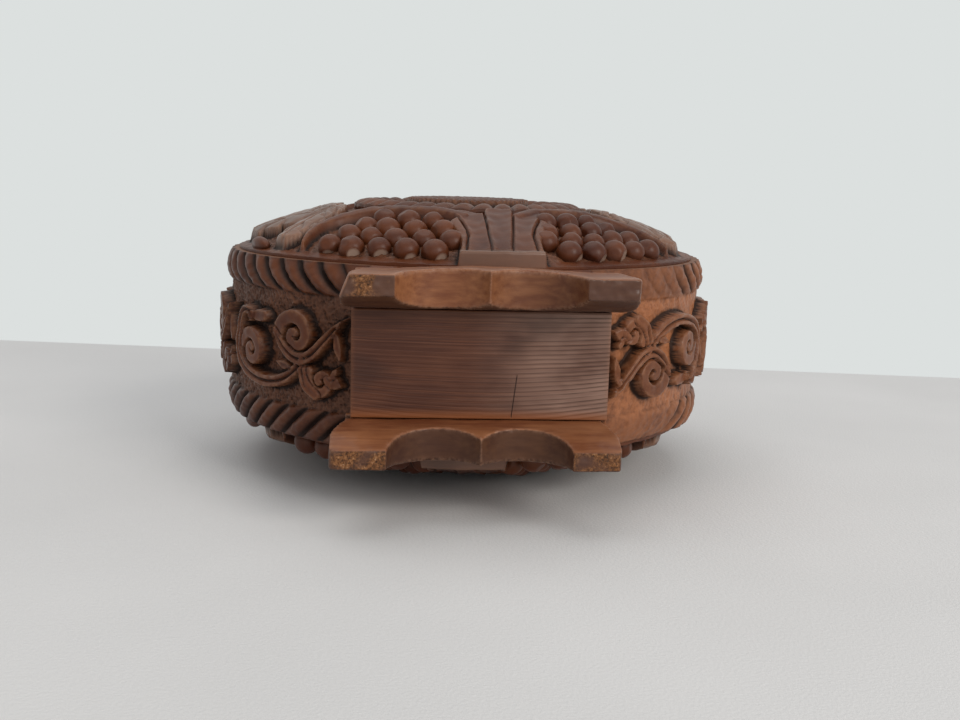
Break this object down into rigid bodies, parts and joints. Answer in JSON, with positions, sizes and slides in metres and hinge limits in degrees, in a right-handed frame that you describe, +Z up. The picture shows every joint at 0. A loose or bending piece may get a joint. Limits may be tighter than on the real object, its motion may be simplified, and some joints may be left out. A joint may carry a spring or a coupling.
{
  "type": "wooden puzzle box",
  "caption": "Round carved wooden puzzle box with domed lid, rope mouldings and a bracket foot whose panel slides aside to reach a hidden bolt.",
  "frame": {"origin": "centre of the back rosette's flat face, on the drum's axis, which the box rests on", "axes": "+Z up along the drum's axis towards the lid, -Y towards the foot's soles, +X along the panel's slide"},
  "size_m": [0.1978, 0.2158, 0.11],
  "materials": {
    "carved_wood": "dark waxed carving, worn on the high places",
    "foot_wood": "dark waxed straight grain, rubbed at the soles",
    "inner_wood": "bare scraped boards",
    "bolt_wood": "oiled hardwood, polished by use",
    "peg_wood": "bare riven pegs"
  },
  "bodies": {
    "case": {"drum_wall": "carved_wood", "back_dome": "carved_wood", "back_rosette": "carved_wood", "foot_rail_upper": "foot_wood", "foot_rail_lower": "foot_wood", "cheek_left": "foot_wood", "cheek_right": "foot_wood", "floor_board": "inner_wood", "partition": "inner_wood", "chamber_ceiling": "inner_wood", "bolt_bed": "inner_wood", "bolt_strap_left": "bolt_wood", "bolt_strap_right": "bolt_wood", "bolt_keeper": "bolt_wood", "floor_pegs": "peg_wood", "rail_dowels": "peg_wood"},
    "panel": {"sole_panel": "foot_wood", "panel_stop_peg": "peg_wood"},
    "bolt": {"bolt_bar": "bolt_wood", "bolt_knob": "bolt_wood"},
    "lid": {"lid_dome": "carved_wood", "lid_rosette": "carved_wood", "lid_liner": "inner_wood", "liner_pegs": "peg_wood", "lid_catch": "bolt_wood"}
  },
  "joints": [
    {"name": "panel_slide", "type": "slide", "parent": "case", "child": "panel", "axis": [1, 0, 0], "range_m": [0, 0.06]},
    {"name": "bolt_slide", "type": "slide", "parent": "case", "child": "bolt", "axis": [1, 0, 0], "range_m": [0, 0.01]},
    {"name": "lid_lift", "type": "slide", "parent": "case", "child": "lid", "axis": [0, 0, 1], "range_m": [0, 0.06]}
  ]
}
